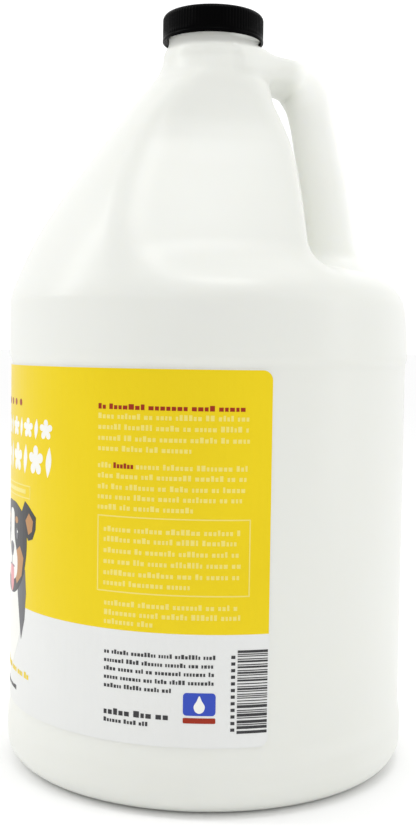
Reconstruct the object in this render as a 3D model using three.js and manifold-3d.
// A one-gallon shampoo jug: a blow-moulded bottle with a hollow handle, a ribbed screw cap, the foam liner
// inside the cap, and a wrap label. Millimetres, +Z up. The origin is the centre of the base ring, on the
// surface that the jug stands on. The label faces -Y and the handle points to +Y.
import * as THREE from "three";
import { mergeVertices } from "three/addons/utils/BufferGeometryUtils.js";
import Module from "manifold-3d";

const wasm = await Module();
wasm.setup();

// ---- Driving dimensions ------------------------------------------------------------------------------------

const WALL = 1.3; // blown wall
const ROUND_SEGMENTS = 48; // facets round the body
const SHOULDER_STEPS = 15;
const LEDGE_STEPS = 6;
const FLANK_STEPS = 9;
const BACK_STEPS = 9;
const THREAD_STEPS_PER_TURN = 28;
const CLEARANCE = 0.3; // between pieces that touch on the real jug

// Body, from the base up
const PUSH_UP_CORNER_R = 50; // where the domed middle turns down to the base ring
const BASE_RING_INNER_R = 60;
const BASE_RING_OUTER_R = 69;
const PUSH_UP = 6; // how far the middle of the base is domed up
const HEEL_R = 78.9;
const HEEL_HEIGHT = 10;
const PANEL_R = 78; // recessed band that takes the label
const PANEL_Z = [24, 156];
const BUMPER_R = 79.5; // widest band, above the label
const BUMPER_LOW_Z = 167;

// Shoulder: a cone-like front, flattened on both flanks and cut off square behind, above a sloping ledge
const LEDGE_Z = 176.5; // outer edge of the ledge
const SHOULDER = [[79.5, 176], [78.9, 181], [75.1, 190.4], [68.8, 203.9], [60.5, 217.4], [48.4, 233.9],
  [36.1, 250.5], [28, 261], [23.4, 265.6], [20.6, 270], [19.7, 275.5]]; // its front, radius against height
const LEDGE = [[79.2, 176], [78.7, 178], [76.9, 183], [71.5, 187.8], [62.9, 191.8], [50, 194.2]]; // its top
const LEDGE_MIDDLE_Z = 195.5;
const FLANK = [[66.9, 176.5], [57.3, 191.5], [49.3, 204], [40.3, 218], [33, 229.5], [25.8, 241.5], [22.4, 250],
  [20.9, 257], [20.3, 263], [20.3, 269], [21.2, 274]]; // half-width across the flanks against height
const BACK = [[21, 176.5], [21.8, 200], [23, 212], [24.3, 227], [24.6, 238], [23.6, 246], [21.9, 252],
  [19.6, 259], [18.6, 266]]; // wall that faces the handle, Y against height

// Neck and its 38 mm screw finish
const NECK_R = 19.7;
const NECK_TOP_Z = 280.3;
const FINISH_R = 17.45;
const FINISH_TOP_Z = 290.5;
const BORE_R = 15.4;
const THREAD_PITCH = 25.4 / 6;
const THREAD_R = 18.6; // crest of the thread on the neck
const THREAD_TURNS = 1.2;
const THREAD_LOW_Z = 283.15; // centre of the thread where it starts, at the bottom
const THREAD_ROOT_WIDTH = 1.7;
const THREAD_CREST_WIDTH = 0.8;

// Cap
const CAP_R = 19.95;
const CAP_RIB_DEPTH = 0.28;
const CAP_RIBS = 60;
const CAP_Z = [282.5, 293.4];
const CAP_CORNER_R = 2.4;
const CAP_BORE_R = 18.9;
const CAP_THREAD_CREST_R = 17.75;
const CAP_THREAD_TURNS = 0.95;
const CAP_TOP_THICKNESS = 1.5;
const LINER_R = 18.6;
const LINER_THICKNESS = 0.8;

// Label
const LABEL_HALF_ANGLE = THREE.MathUtils.degToRad(88.6);
const LABEL_Z = [25.2, 155.3];
const LABEL_THICKNESS = 0.25;

// Handle: stations along its middle line in the YZ plane, with its half-thickness there and its half-width in X
const HANDLE = [
  { y: 10, z: 272.2, thick: 6.4, wide: 18, taper: 0 },
  { y: 22, z: 271.9, thick: 6.5, wide: 17, taper: 0 },
  { y: 30, z: 271.2, thick: 6.7, wide: 15.4, taper: 0.05 },
  { y: 35.2, z: 269.6, thick: 8.2, wide: 13.4, taper: 0.12 },
  { y: 39.9, z: 263.5, thick: 8.8, wide: 11.8, taper: 0.25 },
  { y: 42.1, z: 254.4, thick: 8.3, wide: 10.8, taper: 0.4 },
  { y: 44.6, z: 243.3, thick: 8.7, wide: 10.6, taper: 0.4 },
  { y: 47.8, z: 230, thick: 9, wide: 10.6, taper: 0.4 },
  { y: 50.2, z: 217, thick: 9.2, wide: 10.8, taper: 0.4 },
  { y: 51.6, z: 206, thick: 9.7, wide: 11.4, taper: 0.4 },
  { y: 52.6, z: 197, thick: 11.3, wide: 13, taper: 0.4 },
  { y: 54.6, z: 186, thick: 14, wide: 16, taper: 0.4 },
];
const HANDLE_SQUARENESS = 2.4; // exponent of the section's superellipse
const HANDLE_SECTION_POINTS = 14;
const HANDLE_STEPS = 22;

// ---- Helpers -----------------------------------------------------------------------------------------------

// A closed three.js geometry as a manifold-3d solid.
function solid(geometry) {
  const bare = geometry.clone();
  bare.deleteAttribute("normal");
  bare.deleteAttribute("uv");
  const merged = mergeVertices(bare, 1e-4);
  return new wasm.Manifold(new wasm.Mesh({
    numProp: 3,
    vertProperties: merged.attributes.position.array,
    triVerts: new Uint32Array(merged.index.array),
  }));
}

// A manifold-3d solid as a named mesh.
function meshOf(name, made, material) {
  const { numVert, numProp, vertProperties, triVerts } = made.getMesh();
  const position = new Float32Array(numVert * 3);
  for (let i = 0; i < numVert; i++) position.set(vertProperties.subarray(i * numProp, i * numProp + 3), i * 3);
  const geometry = new THREE.BufferGeometry();
  geometry.setAttribute("position", new THREE.BufferAttribute(position, 3));
  geometry.setIndex(new THREE.BufferAttribute(triVerts, 1));
  const mesh = new THREE.Mesh(geometry.toNonIndexed(), material);
  mesh.geometry.computeVertexNormals();
  mesh.name = name;
  return mesh;
}

// A solid of revolution about Z, from [radius, z] pairs that start and end on the axis, lowest first.
function revolve(profile, segments = ROUND_SEGMENTS) {
  const points = profile.map(([r, z]) => new THREE.Vector2(r, z));
  return solid(new THREE.LatheGeometry(points, segments).rotateX(Math.PI / 2));
}

// Points spaced along a smooth curve through the given pairs.
function smooth(pairs, steps) {
  const curve = new THREE.SplineCurve(pairs.map(([a, b]) => new THREE.Vector2(a, b)));
  return curve.getPoints(steps).map((p) => [p.x, p.y]);
}

// A quarter ellipse from start to end angle, as pairs.
function arc(centre, radii, start, end, steps) {
  return Array.from({ length: steps + 1 }, (_, i) => {
    const a = start + ((end - start) * i) / steps;
    return [centre[0] + radii[0] * Math.cos(a), centre[1] + radii[1] * Math.sin(a)];
  });
}

// Moves each point of an open outline to its left by a distance, or to its right if that is negative.
function offset(pairs, distance) {
  return pairs.map(([a, b], i) => {
    const before = pairs[Math.max(i - 1, 0)];
    const after = pairs[Math.min(i + 1, pairs.length - 1)];
    const along = new THREE.Vector2(after[0] - before[0], after[1] - before[1]).normalize();
    return [a - along.y * distance, b + along.x * distance];
  });
}

// A prism from an outline, extruded both ways past the body. The outline's first axis is X or Y, its second Z.
function prism(outline, firstAxis) {
  const reach = 2 * BUMPER_R + 20;
  const shape = new THREE.Shape(outline.map(([a, b]) => new THREE.Vector2(a, b)));
  const geometry = new THREE.ExtrudeGeometry(shape, { depth: reach, bevelEnabled: false, steps: 1 });
  geometry.translate(0, 0, -reach / 2);
  if (firstAxis === "X") return solid(geometry.rotateX(Math.PI / 2));
  const toYZ = new THREE.Matrix4().makeBasis(
    new THREE.Vector3(0, 1, 0), new THREE.Vector3(0, 0, 1), new THREE.Vector3(1, 0, 0));
  return solid(geometry.applyMatrix4(toYZ));
}

// A closed skin over a row of rings with the same number of points, with a fan over each end.
function loft(rings) {
  const count = rings[0].length;
  const points = rings.flat();
  const middle = (ring) => ring.reduce((sum, p) => sum.add(p), new THREE.Vector3()).divideScalar(count);
  const first = points.push(middle(rings[0])) - 1;
  const last = points.push(middle(rings.at(-1))) - 1;
  const index = [];
  for (let i = 0; i < rings.length - 1; i++) {
    for (let j = 0; j < count; j++) {
      const a = i * count + j;
      const b = i * count + ((j + 1) % count);
      index.push(a, b, b + count, a, b + count, a + count);
    }
  }
  const end = (rings.length - 1) * count;
  for (let j = 0; j < count; j++) {
    const k = (j + 1) % count;
    index.push(first, k, j, last, end + j, end + k);
  }
  const geometry = new THREE.BufferGeometry().setFromPoints(points);
  geometry.setIndex(index);
  return solid(geometry);
}

// A right-handed helical thread, a blunt ridge between its root and crest radii that fades out at both ends.
function thread({ rootR, crestR, lowZ, turns, startAngle }) {
  const steps = Math.round(turns * THREAD_STEPS_PER_TURN);
  const fade = 3; // steps over which the ridge rises at each end
  const rings = Array.from({ length: steps + 1 }, (_, i) => {
    const height = Math.min(1, (Math.min(i, steps - i) + 0.3) / fade);
    const crest = rootR + (crestR - rootR) * height;
    const a = startAngle + (i / steps) * turns * 2 * Math.PI;
    const z = lowZ + (i / steps) * turns * THREAD_PITCH;
    const corner = (r, dz) => new THREE.Vector3(r * Math.cos(a), r * Math.sin(a), z + dz);
    return [
      corner(rootR, -THREAD_ROOT_WIDTH / 2),
      corner(rootR, THREAD_ROOT_WIDTH / 2),
      corner(crest, THREAD_CREST_WIDTH / 2),
      corner(crest, -THREAD_CREST_WIDTH / 2),
    ];
  });
  return loft(crestR > rootR ? rings : rings.map((ring) => ring.reverse()));
}

// ---- Bottle ------------------------------------------------------------------------------------------------

// Outer line of the body and shoulder in front, from the middle of the base to the neck.
function bodyLine() {
  return [
    [0, PUSH_UP],
    [PUSH_UP_CORNER_R - 20, PUSH_UP - 0.5],
    ...arc([PUSH_UP_CORNER_R, 0], [BASE_RING_INNER_R - PUSH_UP_CORNER_R, PUSH_UP - 1], Math.PI / 2, 0.2, 3),
    [BASE_RING_INNER_R, 0],
    ...arc([BASE_RING_OUTER_R, HEEL_HEIGHT], [HEEL_R - BASE_RING_OUTER_R, HEEL_HEIGHT], -Math.PI / 2, 0, 5),
    [HEEL_R, PANEL_Z[0] - 6],
    [PANEL_R, PANEL_Z[0]],
    [PANEL_R, PANEL_Z[1]],
    [BUMPER_R, BUMPER_LOW_Z],
    ...smooth(SHOULDER, SHOULDER_STEPS),
  ];
}

// Top line of the ledge under the flanks and the handle, from its outer edge to the axis.
function ledgeLine() {
  return [...smooth(LEDGE, LEDGE_STEPS), [0, LEDGE_MIDDLE_Z]];
}

// The jug's shape without its handle, shrunk by a distance: 0 for the outside, the wall for the inside.
function shell(inset) {
  const body = inset ? offset(bodyLine(), inset).map(([r, z], i) => [i ? r : 0, z]) : bodyLine();
  const top = inset
    ? [[BORE_R, NECK_TOP_Z + 0.5], [BORE_R, FINISH_TOP_Z + 5], [0, FINISH_TOP_Z + 5]]
    : [[NECK_R, NECK_TOP_Z - 0.5], [NECK_R - 0.5, NECK_TOP_Z], [FINISH_R, NECK_TOP_Z],
      [FINISH_R, FINISH_TOP_Z - 0.4], [FINISH_R - 0.4, FINISH_TOP_Z], [0, FINISH_TOP_Z]];
  let made = revolve([...body, ...top]);
  const far = BUMPER_R + 10;
  const floor = LEDGE_Z - inset;
  const flank = [[FLANK[0][0] - inset, floor], ...offset(smooth(FLANK, FLANK_STEPS), inset)];
  for (const side of [1, -1]) {
    const outline = [...flank, [far, FLANK.at(-1)[1]], [far, floor]].map(([x, z]) => [side * x, z]);
    made = made.subtract(prism(outline, "X"));
  }
  const back = [[BACK[0][0] - inset, floor], ...offset(smooth(BACK, BACK_STEPS), inset)];
  made = made.subtract(prism([...back, [far, BACK.at(-1)[1] + inset], [far, floor]], "Y"));
  const ledge = ledgeLine().map(([r, z]) => [Math.max(0, r - inset), z - inset]);
  const buried = PANEL_Z[1] - 6; // the ledge's solid starts inside the body
  return made.add(revolve([[0, buried], [PANEL_R - 8 - inset, buried], ...ledge]));
}

// The handle as one closed tube, shrunk by a distance.
function handle(inset) {
  const line = new THREE.CatmullRomCurve3(HANDLE.map(({ y, z }) => new THREE.Vector3(0, y, z)), false, "centripetal");
  const sizes = new THREE.CatmullRomCurve3(
    HANDLE.map(({ thick, wide, taper }) => new THREE.Vector3(thick, wide, taper)), false, "catmullrom", 0.5);
  const rings = Array.from({ length: HANDLE_STEPS + 1 }, (_, i) => {
    const t = i / HANDLE_STEPS;
    const centre = line.getPoint(t);
    const tangent = line.getTangent(t);
    const across = new THREE.Vector3(0, -tangent.z, tangent.y);
    const size = sizes.getPoint(t);
    return Array.from({ length: HANDLE_SECTION_POINTS }, (_, j) => {
      const a = (j / HANDLE_SECTION_POINTS) * 2 * Math.PI;
      const bulge = (v) => Math.sign(v) * Math.abs(v) ** (2 / HANDLE_SQUARENESS);
      const outward = bulge(Math.cos(a));
      const halfWidth = size.y * (1 + size.z * outward) - inset;
      return centre.clone()
        .addScaledVector(across, outward * (size.x - inset))
        .add(new THREE.Vector3(bulge(Math.sin(a)) * halfWidth, 0, 0));
    });
  });
  return loft(rings);
}

function bottle() {
  const neckThread = thread({
    rootR: FINISH_R - 0.4, crestR: THREAD_R, lowZ: THREAD_LOW_Z, turns: THREAD_TURNS, startAngle: 0,
  });
  const outside = shell(0).add(handle(0)).add(neckThread);
  const inside = shell(WALL).add(handle(WALL));
  return outside.subtract(inside);
}

// ---- Cap, liner and label ----------------------------------------------------------------------------------

function capOutside() {
  const [low, high] = CAP_Z;
  const outline = Array.from({ length: CAP_RIBS }, (_, i) => {
    const at = (share, r) => {
      const a = ((i + share) / CAP_RIBS) * 2 * Math.PI;
      return new THREE.Vector2(r * Math.cos(a), r * Math.sin(a));
    };
    return [at(-0.2, CAP_R), at(0.2, CAP_R), at(0.35, CAP_R - CAP_RIB_DEPTH), at(0.65, CAP_R - CAP_RIB_DEPTH)];
  }).flat();
  const ribbed = new THREE.ExtrudeGeometry(new THREE.Shape(outline), { depth: high - low + 2, bevelEnabled: false });
  const turned = revolve([
    [0, low],
    [CAP_R - 0.5, low],
    [CAP_R + 0.1, low + 0.6],
    ...arc([CAP_R + 0.1 - CAP_CORNER_R, high - CAP_CORNER_R], [CAP_CORNER_R, CAP_CORNER_R], 0, Math.PI / 2, 5),
    [0, high],
  ]);
  return solid(ribbed.translate(0, 0, low - 1)).intersect(turned);
}

function cap() {
  const [low, high] = CAP_Z;
  const ceiling = high - CAP_TOP_THICKNESS;
  const hollow = revolve([
    [0, low - 1],
    [CAP_BORE_R + 0.15, low - 1],
    [CAP_BORE_R, low + 0.8],
    [CAP_BORE_R, ceiling - 1.7],
    [CAP_BORE_R - 0.6, ceiling - 1.4],
    [CAP_BORE_R, ceiling - 1.1],
    [CAP_BORE_R, ceiling],
    [0, ceiling],
  ]);
  const capThread = thread({
    rootR: CAP_BORE_R + 0.4,
    crestR: CAP_THREAD_CREST_R,
    lowZ: THREAD_LOW_Z + THREAD_PITCH / 8,
    turns: CAP_THREAD_TURNS,
    startAngle: (2 * Math.PI * 5) / 8,
  });
  return capOutside().subtract(hollow).add(capThread);
}

function liner() {
  const top = CAP_Z[1] - CAP_TOP_THICKNESS - CLEARANCE;
  const low = top - LINER_THICKNESS;
  return revolve([[0, low], [LINER_R, low], [LINER_R, top], [0, top]], 48);
}

function label() {
  const inner = PANEL_R + CLEARANCE;
  const start = -Math.PI / 2 - LABEL_HALF_ANGLE;
  const end = -Math.PI / 2 + LABEL_HALF_ANGLE;
  const shape = new THREE.Shape();
  shape.absarc(0, 0, inner + LABEL_THICKNESS, start, end, false);
  shape.absarc(0, 0, inner, end, start, true);
  const depth = LABEL_Z[1] - LABEL_Z[0];
  const geometry = new THREE.ExtrudeGeometry(shape, { depth, bevelEnabled: false, curveSegments: 32 });
  return solid(geometry.translate(0, 0, LABEL_Z[0]));
}

// ---- Assembly ----------------------------------------------------------------------------------------------

const plastic = (color, roughness) => new THREE.MeshStandardMaterial({ color, roughness, metalness: 0 });

const jug = new THREE.Group();
jug.add(meshOf("bottle", bottle(), plastic(0xeceeea, 0.4)));
jug.add(meshOf("screw_cap", cap(), plastic(0x0b0b0c, 0.35)));
jug.add(meshOf("cap_liner", liner(), plastic(0xf2f2ee, 0.8)));
jug.add(meshOf("wrap_label", label(), plastic(0xe8d32a, 0.35)));

export default jug;
